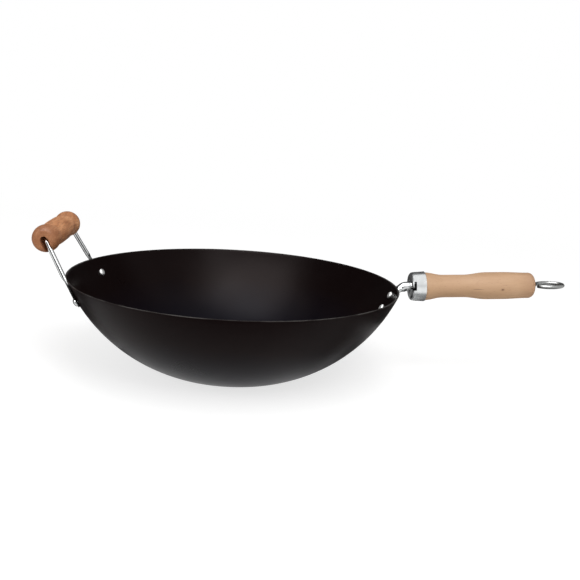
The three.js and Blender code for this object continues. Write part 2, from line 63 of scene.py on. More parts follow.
bpy.ops.object.camera_add(location=CAMERA_PLACE)
camera = bpy.context.object
camera.name = "camera"
camera.data.sensor_width = SENSOR_MM
camera.data.lens = SENSOR_MM * FOCAL_PIXELS / PICTURE_SIDE
look = (CAMERA_AIM - CAMERA_PLACE).to_track_quat("-Z", "Y")
camera.rotation_euler = (look @ Quaternion((0, 0, 1), CAMERA_LEAN)).to_euler()
bpy.context.scene.camera = camera
print("lens:", round(camera.data.lens, 2), "mm")

# %% [markdown]
# ## Helpers for node materials
# Every finish below is a node tree. Building one by hand means adding nodes and joining sockets, so
# one small function adds a node, sets its options, and sets or links its inputs by name.
# Three more stand for the nodes that are used most: a colour ramp, a mix of two colours, and one step
# of arithmetic.


# %% Node helpers
def new_finish(name):
    """A material with an empty surface: its tree and its shader."""
    finish = bpy.data.materials.new(name)
    finish.use_nodes = True
    return finish, finish.node_tree, finish.node_tree.nodes["Principled BSDF"]


def fill(tree, node, inputs):
    """Sets inputs to values, or links them to other nodes' outputs."""
    for name, value in inputs.items():
        if isinstance(value, bpy.types.NodeSocket):
            tree.links.new(value, node.inputs[name])
        else:
            node.inputs[name].default_value = value


def add(tree, kind, inputs, **options):
    """A new node with its options and inputs."""
    node = tree.nodes.new("ShaderNode" + kind)
    for name, value in options.items():
        setattr(node, name, value)
    fill(tree, node, inputs)
    return node


def ramp(tree, share, stops):
    """Colours or greys along a share from 0 to 1."""
    node = add(tree, "ValToRGB", {"Fac": share})
    marks = node.color_ramp.elements
    while len(marks) < len(stops):
        marks.new(1)
    for mark, (place, colour) in zip(marks, stops):
        mark.position = place
        mark.color = colour if isinstance(colour, tuple) else (colour, colour, colour, 1)
    return node.outputs["Color"]


def mix(tree, share, first, second):
    """Two colours mixed by a share. The node's colour sockets have numbers 6 and 7, and 2 is the result."""
    return add(tree, "Mix", {0: share, 6: first, 7: second}, data_type="RGBA").outputs[2]


def maths(tree, way, first, second=0.0):
    """One step of arithmetic on one or two numbers."""
    return add(tree, "Math", {0: first, 1: second}, operation=way).outputs[0]


print("node helpers ready")

# %% [markdown]
# ## The studio
# The wok stands on a plain pale floor in soft light. A floor that is only lit never comes out white,
# and more light would bleach the wok. So the floor's material asks with Light Path who is looking:
# the camera and shiny surfaces see it with a glow added, and light that bounces off it to the wok
# sees plain pale paint. The glow stays under full white near the wok, which leaves room for its
# shadow, and reaches full white further out, where the floor has to melt into the world behind it.

# %% Floor
FLOOR_RADIUS = 6.0
FLOOR_SIDES = 96
FLOOR_DROP = 0.0003
PAINT_UNDER_GLOW = 0.42
GLOW_NEAR = 0.72
GLOW_STARTS = 0.35
GLOW_FULL = 1.5


def seen_directly(tree):
    """1 for the camera and for mirrored or refracted rays, and 0 for light that bounces."""
    rays = add(tree, "LightPath", {}).outputs
    mirrored = maths(tree, "MAXIMUM", rays["Is Camera Ray"], rays["Is Glossy Ray"])
    return maths(tree, "MAXIMUM", mirrored, rays["Is Transmission Ray"])


def clear_selection():
    """Operators act on all that is selected, so nothing is."""
    if bpy.context.object and bpy.context.object.mode != "OBJECT":
        bpy.ops.object.mode_set(mode="OBJECT")
    bpy.ops.object.select_all(action="DESELECT")


clear_selection()
bpy.ops.mesh.primitive_circle_add(vertices=FLOOR_SIDES, radius=FLOOR_RADIUS, fill_type="NGON")
floor = bpy.context.object
floor.name = "floor"
floor.location.z = -FLOOR_DROP

pale_floor, tree, shader = new_finish("pale_floor")
place = add(tree, "TexCoord", {}).outputs["Object"]
speckle = add(tree, "TexNoise", {"Vector": place, "Scale": 9.0, "Detail": 3.0}).outputs["Fac"]
paint = ramp(tree, speckle, [(0.3, 0.84), (0.7, 0.88)])
reach = add(tree, "VectorMath", {0: place}, operation="LENGTH").outputs["Value"]
spread = {"Value": reach, "From Min": GLOW_STARTS, "From Max": GLOW_FULL}
outwards = add(tree, "MapRange", spread, interpolation_type="SMOOTHSTEP").outputs["Result"]
seen = seen_directly(tree)
under_glow = ramp(tree, outwards, [(0.0, PAINT_UNDER_GLOW), (1.0, 0.0)])
glow = ramp(tree, outwards, [(0.0, GLOW_NEAR), (1.0, 1.0)])
fill(tree, shader, {
    "Base Color": mix(tree, seen, paint, under_glow),
    "Emission Color": (1, 1, 1, 1),
    "Emission Strength": maths(tree, "MULTIPLY", seen, glow),
    "Specular IOR Level": 0.0,
    "Roughness": 0.9,
})
pale_floor.cycles.emission_sampling = "NONE"
floor.data.materials.append(pale_floor)
print("floor:", FLOOR_RADIUS, "m in radius")

# %% [markdown]
# ## Lamps and world
# One tall lamp above the camera and to its right lights the wok, and a weaker one on the left lifts
# the side of the wall. The broad sheen inside the bowl is the mirror image of a wide soft lamp. That
# one is hidden from diffuse rays, so it draws the sheen and leaves the colours at the level they are
# written at. The world gives the rest of the light, and is white where it is seen directly.

# %% Lamps and world
AROUND_STRENGTH = 0.5
SEEN_STRENGTH = 1.0


def lamp(name, place, aim, width, height, power):
    """A soft lamp of this width and height, turned to a point."""
    bpy.ops.object.light_add(type="AREA", location=place)
    light = bpy.context.object
    light.name = name
    light.data.shape = "RECTANGLE"
    light.data.size = width
    light.data.size_y = height
    light.data.energy = power
    light.rotation_euler = (Vector(aim) - Vector(place)).to_track_quat("-Z", "Y").to_euler()
    return light


front = lamp("lamp_front", (0.25, -0.95, 1.35), (0.0, 0.0, 0.05), width=0.6, height=1.3, power=14.0)
lamp("lamp_left", (-1.6, -0.9, 0.9), (0.0, 0.0, 0.08), width=0.9, height=0.9, power=6.0)
sheen = lamp("lamp_sheen", (-0.36, -0.55, 1.60), (0.0, 0.0, 0.05), width=1.2, height=1.6, power=50.0)
sheen.visible_diffuse = False

world = bpy.data.worlds.new("studio")
bpy.context.scene.world = world
world.use_nodes = True
tree = world.node_tree
around = add(tree, "Background", {"Color": (1, 1, 1, 1), "Strength": AROUND_STRENGTH})
behind = add(tree, "Background", {"Color": (1, 1, 1, 1), "Strength": SEEN_STRENGTH})
both = add(tree, "MixShader", {"Fac": seen_directly(tree)})
tree.links.new(around.outputs[0], both.inputs[1])
tree.links.new(behind.outputs[0], both.inputs[2])
tree.links.new(both.outputs[0], tree.nodes["World Output"].inputs["Surface"])
world.cycles.sampling_method = "NONE"
bpy.context.scene.view_settings.view_transform = "Standard"
print("three lamps and a white world")

# %% [markdown]
# ## Black cards
# Plated steel in a white room is white all over, and its shape is lost. A photographer stands black
# cards just outside the picture, so that their reflections draw dark edges on the metal. Here they
# are eight planes that only mirrored rays can see. Four lie on the floor and fade out softly: one
# under each handle, one before the bowl and one under it. Four hang in the air with firmer edges: a
# wide one close behind the wok, one on its left, and small ones before the short handle and before
# the rod, for the dark stripes along them.

# %% Black cards
FLOOR_FADE = 0.22
AIR_FADE = 0.05
HALF_SIDE = 0.5


def card_finish(name, edge):
    """Dull black that thins out over this share of the card at its edges."""
    finish, tree, shader = new_finish(name)
    place = add(tree, "TexCoord", {}).outputs["Object"]
    nap = add(tree, "TexNoise", {"Vector": place, "Scale": 60.0, "Detail": 2.0}).outputs["Fac"]
    sides = add(tree, "SeparateXYZ", {"Vector": place}).outputs
    out = maths(tree, "MAXIMUM", maths(tree, "ABSOLUTE", sides["X"]), maths(tree, "ABSOLUTE", sides["Y"]))
    fade = {"Value": out, "From Min": HALF_SIDE - edge, "From Max": HALF_SIDE}
    thin = add(tree, "MapRange", fade, interpolation_type="SMOOTHSTEP").outputs["Result"]
    fill(tree, shader, {
        "Base Color": ramp(tree, nap, [(0.3, 0.08), (0.7, 0.11)]),
        "Roughness": 1.0,
        "Specular IOR Level": 0.0,
        "Alpha": maths(tree, "SUBTRACT", 1.0, thin),
    })
    return finish


floor_black = card_finish("floor_black", FLOOR_FADE)
air_black = card_finish("air_black", AIR_FADE)
print("card finishes:", floor_black.name, "and", air_black.name)

# %% Cards in their places
CARD_HEIGHT = -0.0001


def black_card(name, finish, place, aim, width, height):
    """A card that only mirrored rays see, turned to a point."""
    clear_selection()
    bpy.ops.mesh.primitive_plane_add(size=1)
    card = bpy.context.object
    card.name = name
    card.location = place
    card.scale = (width, height, 1)
    card.rotation_euler = (Vector(aim) - Vector(place)).to_track_quat("Z", "Y").to_euler()
    card.visible_camera = False
    card.visible_diffuse = False
    card.visible_transmission = False
    card.visible_shadow = False
    card.data.materials.append(finish)


def floor_card(name, x, y, width, height):
    """A card that lies on the floor and faces up."""
    black_card(name, floor_black, (x, y, CARD_HEIGHT), (x, y, 1.0), width, height)


floor_card("card_under_long_handle", 0.27, 0.09, width=0.44, height=0.52)
floor_card("card_under_short_handle", -0.30, 0.14, width=0.34, height=0.40)
floor_card("card_before_bowl", -0.02, -0.36, width=0.5, height=0.36)
floor_card("card_under_bowl", 0.0, 0.11, width=0.44, height=0.36)
black_card("card_behind", air_black, (0.1, 0.24, 0.3), (0.1, 0.0, 0.3), width=1.6, height=0.6)
black_card("card_left", air_black, (-0.70, 0.05, 0.55), (0.0, 0.05, 0.55), width=1.0, height=1.0)
black_card("card_before_short_handle", air_black, (-0.258, -0.387, 0.206), (-0.175, -0.06, 0.12),
           width=0.34, height=0.30)
black_card("card_before_rod", air_black, (0.136, -0.39, 0.21), (0.18, 0.0, 0.10), width=0.16, height=0.10)
print("eight black cards")

# %% [markdown]
# ## Finish of the bowl
# The bowl is carbon steel with a baked black oil finish. It takes nearly all light in, and mirrors a
# little from its surface: hardly any where it is seen straight on, and far more along the curves that
# turn away. A plain dark colour with a low specular level does just that. The colour, and the tinge of
# what it mirrors, change with height: brown black near the rim, and blue black near the base, where the
# blue is a painted reflection of a bluish light. Two noises make it uneven: a broad one where the oil is
# thicker, and a fine one for the pressed skin. The cut edge of the rim is lighter here and there: partly
# steel worn through, and partly a painted highlight for the light that the edge catches.

# %% Black steel
RIM_HEIGHT = 0.0965
BARE_AND_HIGHLIGHT_BAND = 0.0007
OIL_SHIFT = 0.3

black_steel, tree, shader = new_finish("black_steel")
place = add(tree, "TexCoord", {}).outputs["Object"]
height = add(tree, "SeparateXYZ", {"Vector": place}).outputs["Z"]
thick_oil = {"Vector": place, "Scale": 14.0, "Detail": 5.0, "Roughness": 0.6}
oil = add(tree, "TexNoise", thick_oil).outputs["Fac"]
skin = add(tree, "TexNoise", {"Vector": place, "Scale": 900.0, "Detail": 3.0}).outputs["Fac"]
edge_patches = add(tree, "TexNoise", {"Vector": place, "Scale": 40.0, "Detail": 4.0}).outputs["Fac"]
brown_black = ramp(tree, oil, [(0.3, (0.0050, 0.0024, 0.0024, 1)), (0.7, (0.0068, 0.0036, 0.0036, 1))])
# The blue black near the base is a painted reflection: the tinge of a bluish light mirrored there.
blue_black_painted_reflection = ramp(tree, oil, [(0.3, (0.0042, 0.0036, 0.0060, 1)), (0.7, (0.0062, 0.0056, 0.0090, 1))])
shift = maths(tree, "MULTIPLY", oil, OIL_SHIFT)
climb = maths(tree, "ADD", maths(tree, "DIVIDE", height, RIM_HEIGHT), shift)
colour = mix(tree, ramp(tree, climb, [(0.35, 0.0), (0.8, 1.0)]), blue_black_painted_reflection, brown_black)
# Painted highlight and wear: the cut edge of the rim turns lighter in patches, partly worn steel and partly
# the light it catches.
edge = {"Value": height, "From Min": RIM_HEIGHT - BARE_AND_HIGHLIGHT_BAND, "From Max": RIM_HEIGHT - BARE_AND_HIGHLIGHT_BAND / 2}
bare_and_highlight = maths(tree, "MULTIPLY", add(tree, "MapRange", edge).outputs["Result"],
             ramp(tree, edge_patches, [(0.4, 0.1), (0.65, 0.7)]))
colour = mix(tree, bare_and_highlight, colour, (0.11, 0.105, 0.10, 1))
shine = ramp(tree, oil, [(0.25, 0.25), (0.75, 0.36)])
pits = add(tree, "Bump", {"Height": skin, "Strength": 0.06, "Distance": 0.0004}).outputs["Normal"]
# Painted reflection colour: what the bowl mirrors is tinged brown near the rim and blue near the base.
painted_reflection_tint = mix(tree, ramp(tree, climb, [(0.3, 0.0), (0.8, 1.0)]), (0.90, 0.91, 1.0, 1), (1.0, 0.91, 0.90, 1))
fill(tree, shader, {"Base Color": colour, "Roughness": shine, "Normal": pits, "Specular Tint": painted_reflection_tint})
shader.inputs["Specular IOR Level"].default_value = 0.04
print("finish:", black_steel.name)

# %% [markdown]
# ## Steels of the handles
# The ferrule, the rod, the hanging eye and the wire of the short handle are plated steel. They are
# almost mirrors, so most of their look is what stands round them. What they need is a little
# roughness that isn't even, so that the reflections soften here and there as they do on plated wire.
# Each has its own tone: the ferrule is the brightest, and the eye the dullest. The rivets are rougher,
# and the pin in the rod is nearly black, a painted shade for the shadow deep in the slots. The lugs of
# the short handle are painted black up to the rim as shade, where they lie dark against the black wall,
# and the eye is painted black as shade where it enters the wood. So a finish can turn to a dull black
# that isn't metal before a place on one axis.

# %% Steels
PAINTED_SHADE_FADE = 0.006
PAINTED_SHADE_BLACK = (0.006, 0.005, 0.005, 1)
# Painted shade: the lugs go dark below the rim, and the eye goes dark where it enters the wood.
LUG_PAINTED_SHADE = ("Z", 0.0945)
EYE_PAINTED_SHADE = ("X", 0.3282)
DULL_SHARE = 0.9
GRIT_FINER = 12


def plated(name, colour, low, high, fine, painted_shade=None):
    """A metal whose roughness wanders between two values, with painted shade in dull black before a place on
    an axis.
    """
    finish, tree, shader = new_finish(name)
    place = add(tree, "TexCoord", {}).outputs["Object"]
    cloud = add(tree, "TexNoise", {"Vector": place, "Scale": fine, "Detail": 4.0}).outputs["Fac"]
    finer = {"Vector": place, "Scale": fine * GRIT_FINER, "Detail": 2.0}
    grit = add(tree, "TexNoise", finer).outputs["Fac"]
    dull = tuple(DULL_SHARE * c for c in colour)
    tone = ramp(tree, cloud, [(0.3, (*dull, 1)), (0.7, (*colour, 1))])
    metal = 1.0
    if painted_shade:
        axis, painted_shade_end = painted_shade
        along = add(tree, "SeparateXYZ", {"Vector": place}).outputs[axis]
        fade = {"Value": along, "From Min": painted_shade_end, "From Max": painted_shade_end + PAINTED_SHADE_FADE}
        unshaded = add(tree, "MapRange", fade, interpolation_type="SMOOTHSTEP").outputs["Result"]
        tone = mix(tree, unshaded, PAINTED_SHADE_BLACK, tone)
        metal = unshaded
    pits = add(tree, "Bump", {"Height": grit, "Strength": 0.03, "Distance": 0.0002}).outputs["Normal"]
    rough = ramp(tree, cloud, [(0.3, high), (0.7, low)])
    fill(tree, shader, {"Base Color": tone, "Roughness": rough, "Normal": pits, "Metallic": metal})
    shader.inputs["Specular IOR Level"].default_value = 0.04
    return finish


bright_steel = plated("bright_steel", (0.80, 0.82, 0.82), low=0.24, high=0.34, fine=160.0)
rivet_steel = plated("rivet_steel", (0.76, 0.76, 0.75), low=0.42, high=0.56, fine=400.0)
wire_steel = plated("wire_steel", (0.55, 0.56, 0.56), low=0.10, high=0.17, fine=160.0)
bail_steel = plated("bail_steel", (0.62, 0.63, 0.63), low=0.09, high=0.15, fine=160.0, painted_shade=LUG_PAINTED_SHADE)
eye_steel = plated("eye_steel", (0.28, 0.285, 0.28), low=0.30, high=0.40, fine=160.0, painted_shade=EYE_PAINTED_SHADE)
# The pin's near-black tone is painted shade for the shadow in the slots.
pin_steel = plated("pin_steel", (0.035, 0.035, 0.037), low=0.5, high=0.65, fine=300.0)
steels = (bright_steel, rivet_steel, wire_steel, bail_steel, eye_steel, pin_steel)
print("finishes:", [steel.name for steel in steels])

# %% [markdown]
# ## Beech
# The long handle is turned from one length of pale beech. Beech has hardly any bands. It is known by
# short dark flecks that follow the grain, over a warm pale ground that changes slowly along the wood.
# The grain runs along the handle, which rises a little, so a Mapping node first turns the pattern
# into the handle's own direction. Then noises that are stretched along the grain draw the rest.
# A dark knot and a short split lie on the near side. The front inside the ferrule is painted nearly
# black, a painted shadow for the shade that the slots show there. Towards its end the wood gets darker:
# end grain at the very end, and painted shade over the rounded tail.

# %% Handle direction
HANDLE_START = Vector((0.189, 0.0, 0.0972))
HANDLE_RISE = math.radians(3.5)
handle_place = Matrix.Translation(HANDLE_START) @ Matrix.Rotation(-HANDLE_RISE, 4, "Y")
print("handle starts at", tuple(HANDLE_START))

# %% Pale beech
KNOT_PLACE = (0.0990, -0.0145, -0.0014)
KNOT_SIZE = (0.0030, 0.0030, 0.0021)
SPLIT_PLACE = (0.0725, -0.0132, -0.0010)
SPLIT_SIZE = (0.0085, 0.0030, 0.0006)
FRONT_PAINTED_SHADOW = 0.011
FRONT_SHADOW_ENDS = 0.015
END_STARTS = 0.116
END_FULL = 0.137
END_SHARE = 0.6


def stretched(tree, place, along, across, detail, seed=(0.0, 0.0, 0.0)):
    """A noise that is long in X and fine across it."""
    drawn = add(tree, "Mapping", {"Vector": place, "Location": seed, "Scale": (along, across, across)})
    noise = add(tree, "TexNoise", {"Vector": drawn.outputs[0], "Scale": 1.0, "Detail": detail})
    return noise.outputs["Fac"]


def spot(tree, place, centre, size):
    """How far a point is from the middle of an oval mark, where its edge is 1."""
    away = add(tree, "VectorMath", {0: place, 1: centre}, operation="SUBTRACT").outputs[0]
    oval = add(tree, "VectorMath", {0: away, 1: size}, operation="DIVIDE").outputs[0]
    return add(tree, "VectorMath", {0: oval}, operation="LENGTH").outputs["Value"]


pale_beech, tree, shader = new_finish("pale_beech")
place = add(tree, "TexCoord", {}).outputs["Object"]
own_direction = {"Vector": place, "Location": HANDLE_START, "Rotation": (0, -HANDLE_RISE, 0)}
turned_place = add(tree, "Mapping", own_direction, vector_type="TEXTURE").outputs[0]
ground = stretched(tree, turned_place, along=14.0, across=90.0, detail=3.0)
lines = stretched(tree, turned_place, along=30.0, across=1100.0, detail=3.0, seed=(3.0, 0.0, 0.0))
flecks = stretched(tree, turned_place, along=230.0, across=1500.0, detail=2.0, seed=(0.0, 7.0, 0.0))
colour = ramp(tree, ground, [(0.25, (0.49, 0.302, 0.172, 1)), (0.5, (0.55, 0.346, 0.206, 1)),
                             (0.75, (0.60, 0.390, 0.244, 1))])
colour = mix(tree, ramp(tree, lines, [(0.35, 0.0), (0.7, 0.30)]), colour, (0.50, 0.30, 0.18, 1))
fleck_share = ramp(tree, flecks, [(0.62, 0.0), (0.72, 0.45)])
colour = mix(tree, fleck_share, colour, (0.34, 0.18, 0.10, 1))
knot = ramp(tree, spot(tree, turned_place, KNOT_PLACE, KNOT_SIZE), [(0.25, 0.9), (0.45, 0.3), (1.0, 0.0)])
split = ramp(tree, spot(tree, turned_place, SPLIT_PLACE, SPLIT_SIZE), [(0.3, 0.55), (1.0, 0.0)])
colour = mix(tree, maths(tree, "MAXIMUM", knot, split), colour, (0.13, 0.06, 0.03, 1))
along_grip = add(tree, "SeparateXYZ", {"Vector": turned_place}).outputs["X"]
# Painted shadow: the wood inside the ferrule goes nearly black, as the slots show it in shade.
painted_shadow_front = {
    "Value": along_grip,
    "From Min": FRONT_PAINTED_SHADOW,
    "From Max": FRONT_SHADOW_ENDS,
    "To Min": 1.0,
    "To Max": 0.0,
}
colour = mix(tree, add(tree, "MapRange", painted_shadow_front).outputs["Result"], colour, (0.012, 0.010, 0.009, 1))
# End grain and painted shade: the tail darkens towards its rounded end.
end_grain_and_shade = {"Value": along_grip, "From Min": END_STARTS, "From Max": END_FULL, "To Max": END_SHARE}
colour = mix(tree, add(tree, "MapRange", end_grain_and_shade).outputs["Result"], colour, (0.36, 0.20, 0.115, 1))
rough = ramp(tree, lines, [(0.3, 0.50), (0.7, 0.62)])
pores = add(tree, "Bump", {"Height": flecks, "Strength": 0.12, "Distance": 0.0002}).outputs["Normal"]
fill(tree, shader, {"Base Color": colour, "Roughness": rough, "Normal": pores})
shader.inputs["Specular IOR Level"].default_value = 0.2
print("finish:", pale_beech.name)

# %% [markdown]
# ## Brown wood
# The spool is a browner wood, with its grain along the spool. Broad patches go from orange to a dull
# brown, and the grain lines are stronger than on the beech. Its length runs along Y, so this time
# the noise is stretched along Y by a quarter turn of the pattern. Both bulbs darken towards the ends:
# end grain on the end faces, and painted shade over the bulbs, which the light leaves darker than the
# barrel.

# %% Brown wood
SPOOL_END_STARTS = 0.042
SPOOL_END_FULL = 0.058
SPOOL_END_SHARE = 0.68

brown_wood, tree, shader = new_finish("brown_wood")
place = add(tree, "TexCoord", {}).outputs["Object"]
turned_place = add(tree, "Mapping", {"Vector": place, "Rotation": (0, 0, math.radians(90))}).outputs[0]
patches = stretched(tree, turned_place, along=38.0, across=120.0, detail=4.0)
lines = stretched(tree, turned_place, along=60.0, across=900.0, detail=3.0, seed=(1.0, 0.0, 0.0))
flecks = stretched(tree, turned_place, along=260.0, across=1400.0, detail=2.0, seed=(0.0, 4.0, 0.0))
colour = ramp(tree, patches, [(0.32, (0.46, 0.184, 0.080, 1)), (0.5, (0.65, 0.290, 0.132, 1)),
                              (0.68, (0.80, 0.392, 0.190, 1))])
colour = mix(tree, ramp(tree, lines, [(0.4, 0.0), (0.72, 0.5)]), colour, (0.22, 0.085, 0.035, 1))
colour = mix(tree, ramp(tree, flecks, [(0.6, 0.0), (0.72, 0.5)]), colour, (0.10, 0.04, 0.018, 1))
# End grain and painted shade: the bulbs darken towards the ends of the spool.
away = maths(tree, "ABSOLUTE", add(tree, "SeparateXYZ", {"Vector": place}).outputs["Y"])
ends = {"Value": away, "From Min": SPOOL_END_STARTS, "From Max": SPOOL_END_FULL, "To Max": SPOOL_END_SHARE}
end_grain_and_shade_share = add(tree, "MapRange", ends, interpolation_type="SMOOTHSTEP").outputs["Result"]
colour = mix(tree, end_grain_and_shade_share, colour, (0.24, 0.092, 0.042, 1))
rough = ramp(tree, patches, [(0.3, 0.42), (0.7, 0.55)])
pores = add(tree, "Bump", {"Height": lines, "Strength": 0.15, "Distance": 0.0002}).outputs["Normal"]
fill(tree, shader, {"Base Color": colour, "Roughness": rough, "Normal": pores})
shader.inputs["Specular IOR Level"].default_value = 0.2
print("finish:", brown_wood.name)

# %% [markdown]
# ## Turning on the lathe
# The bowl, the grips, the ferrule and the rivets are all round, so one helper turns them. It works
# as a lathe does. A plane is merged into one point, the point is extruded along the outline, and the
# outline is spun about Z. Points that meet, at the axis or where a closed outline comes back to its
# start, are merged, and the normals are made to point outwards before the piece is put in its place.

# %% Lathe
FULL_TURN = 2 * math.pi
SEED_SIZE = 0.001
MERGE_DISTANCE = 1e-7


def settle(piece, where):
    """Puts a piece in its place and writes that place into its mesh."""
    clear_selection()
    piece.select_set(True)
    bpy.context.view_layer.objects.active = piece
    piece.matrix_world = where
    bpy.ops.object.transform_apply(location=True, rotation=True, scale=True)
    return piece


def turn(name, outline, steps, where, sweep=FULL_TURN):
    """A round piece from an outline of (radius, height) points, spun about Z."""
    clear_selection()
    bpy.ops.mesh.primitive_plane_add(size=SEED_SIZE)
    piece = bpy.context.object
    piece.name = name
    bpy.ops.object.mode_set(mode="EDIT")
    bpy.ops.mesh.merge(type="CENTER")
    bpy.ops.transform.translate(value=(outline[0][0], 0, outline[0][1]))
    for (radius, height), (next_radius, next_height) in zip(outline, outline[1:]):
        move = (next_radius - radius, 0, next_height - height)
        bpy.ops.mesh.extrude_vertices_move(TRANSFORM_OT_translate={"value": move})
    bpy.ops.mesh.select_all(action="SELECT")
    bpy.ops.mesh.spin(steps=steps, angle=sweep, center=(0, 0, 0), axis=(0, 0, 1))
    bpy.ops.mesh.select_all(action="SELECT")
    bpy.ops.mesh.remove_doubles(threshold=MERGE_DISTANCE)
    if sweep < FULL_TURN:
        bpy.ops.mesh.fill_holes(sides=0)
    bpy.ops.mesh.normals_make_consistent(inside=False)
    bpy.ops.object.mode_set(mode="OBJECT")
    return settle(piece, where)


def arc(centre, radius, start, stop, steps):
    """(radius, height) points on an arc. Angles start straight down and turn outwards."""
    angles = [start + (stop - start) * i / steps for i in range(steps + 1)]
    return [(centre[0] + radius * math.sin(a), centre[1] - radius * math.cos(a)) for a in angles]


print("lathe ready")

# %% [markdown]
# ## Dressing a piece
# A finished piece gets smooth shading, one finish and a body to ride on, and it hides the packed
# solid that it stands for. Modifiers are applied at once, so that the mesh itself has the shape.

# %% Dress and modifiers
SMOOTH_ANGLE = math.radians(35)


def dress(piece, finish, slot, body, *stands_for):
    """Gives a piece its finish, its body and the nodes that it stands for."""
    clear_selection()
    piece.select_set(True)
    bpy.context.view_layer.objects.active = piece
    bpy.ops.object.shade_smooth_by_angle(angle=SMOOTH_ANGLE)
    piece.data.materials.clear()
    piece.data.materials.append(finish)
    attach(piece, body)
    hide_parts(*stands_for)
    print(piece.name, "has", len(piece.data.polygons), "faces and rides on", body)


def add_modifier(piece, kind, **options):
    """Adds a modifier, sets its options and applies it."""
    clear_selection()
    piece.select_set(True)
    bpy.context.view_layer.objects.active = piece
    modifier = piece.modifiers.new(kind.lower(), kind)
    for name, value in options.items():
        setattr(modifier, name, value)
    bpy.ops.object.modifier_apply(modifier=modifier.name)


print("pieces can be dressed")

# %% [markdown]
# ## The bowl
# One steel sheet, pressed deep: a flat base, a soft bend that is called the knuckle, and a wall that
# follows one long arc to a plain cut rim. The outline below goes up the outside and down the inside,
# so the sheet has its real thickness. The wall's arc is found from its two ends and its bulge, which
# are easier to read off a picture than a centre. A small bevel takes the sharpness off the cut rim.

# %% Bowl
RIM_RADIUS = 0.175
BOWL_DEPTH = RIM_HEIGHT
FOOT_RADIUS = 0.074
WALL_BULGE = 0.015
KNUCKLE_RADIUS = 0.042
BOWL_SHEET = 0.0016
RIM_ROUND = 0.0004
RIM_SHARPNESS = math.radians(40)
KNUCKLE_STEPS = 8
WALL_STEPS = 40
BOWL_STEPS = 160

wall_chord = math.hypot(RIM_RADIUS - FOOT_RADIUS, BOWL_DEPTH)
wall_radius = (wall_chord ** 2 / 4 + WALL_BULGE ** 2) / (2 * WALL_BULGE)
chord_slope = math.atan2(BOWL_DEPTH, RIM_RADIUS - FOOT_RADIUS)
wall_centre = (
    (RIM_RADIUS + FOOT_RADIUS) / 2 - (wall_radius - WALL_BULGE) * math.sin(chord_slope),
    BOWL_DEPTH / 2 + (wall_radius - WALL_BULGE) * math.cos(chord_slope),
)
rim_angle = math.atan2(RIM_RADIUS - wall_centre[0], wall_centre[1] - BOWL_DEPTH)
inner_rim_angle = math.acos((wall_centre[1] - BOWL_DEPTH) / (wall_radius - BOWL_SHEET))
knee_angle = math.acos((wall_centre[1] - KNUCKLE_RADIUS) / (wall_radius - KNUCKLE_RADIUS))
knuckle_centre = (wall_centre[0] + (wall_radius - KNUCKLE_RADIUS) * math.sin(knee_angle), KNUCKLE_RADIUS)

outside = [(0.0, 0.0)] + arc(knuckle_centre, KNUCKLE_RADIUS, 0, knee_angle, KNUCKLE_STEPS)
outside += arc(wall_centre, wall_radius, knee_angle, rim_angle, WALL_STEPS)[1:]
inside = arc(wall_centre, wall_radius - BOWL_SHEET, inner_rim_angle, knee_angle, WALL_STEPS)
inside += arc(knuckle_centre, KNUCKLE_RADIUS - BOWL_SHEET, knee_angle, 0, KNUCKLE_STEPS)[1:]
inside += [(0.0, BOWL_SHEET)]
bowl = turn("wok_bowl", outside + inside, BOWL_STEPS, Matrix())
add_modifier(bowl, "BEVEL", width=RIM_ROUND, segments=3, limit_method="ANGLE", angle_limit=RIM_SHARPNESS)
dress(bowl, black_steel, "black_steel", "pan", "bowl")

# %% [markdown]
# ## Rivets
# Four rivets hold the handles. Each goes through the sheet and has a low dome on both sides. The flats
# of the two handles differ in thickness, so one rivet is turned for each handle and copied for its
# neighbour. A place on the wall is given by a turn about the bowl and a distance down from the rim,
# and the rivet points the way the wall faces there. The near rivet of the short handle shows only its
# outer head, and it takes the wire's darker, smoother finish as painted shade, for the shade it lies in
# beside the lug.

# %% Rivets
RIVET_RADIUS = 0.0024
RIVET_HEAD_RADIUS = 0.004
RIVET_HEAD_HEIGHT = 0.0023
RIVET_EDGE = 0.0004
RIVET_STEPS = 48
DOME_STEPS = 8
GAP = 0.0003
TANG_PAD = 0.0026
WIRE_LUG = 0.0018


def turn_rivet(name, thickness):
    """A rivet at the origin, for the sheet and a flat of this thickness on its outside."""
    dome = [math.pi / 2 * i / DOME_STEPS for i in range(DOME_STEPS + 1)]
    low = -BOWL_SHEET
    high = GAP + thickness
    rise = RIVET_HEAD_HEIGHT - RIVET_EDGE
    head = [(RIVET_HEAD_RADIUS * math.cos(a), RIVET_EDGE + rise * math.sin(a)) for a in dome]
    head[-1] = (0.0, RIVET_HEAD_HEIGHT)
    top = [(radius, high + height) for radius, height in head]
    bottom = [(radius, low - height) for radius, height in reversed(head)]
    shank = [(RIVET_HEAD_RADIUS, low), (RIVET_RADIUS, low), (RIVET_RADIUS, high), (RIVET_HEAD_RADIUS, high)]
    return turn(name, bottom + shank + top, RIVET_STEPS, Matrix())


def copy_piece(piece, name):
    """A copy of a piece, with a mesh of its own."""
    twin = piece.copy()
    twin.data = piece.data.copy()
    twin.name = name
    bpy.context.collection.objects.link(twin)
    return twin


upper_rivet = turn_rivet("round_handle_rivet_upper", TANG_PAD)
lower_rivet = copy_piece(upper_rivet, "round_handle_rivet_lower")
near_rivet = turn_rivet("round_helper_rivet_near", WIRE_LUG)
far_rivet = copy_piece(near_rivet, "round_helper_rivet_far")
print("each rivet has", len(upper_rivet.data.polygons), "faces")

# %% Rivets in their places
UPPER_RIVET_DROP = 0.012
RIVET_PITCH = 0.0166
LUG_DROP = 0.0184
LUG_SPREAD = math.radians(24.4)


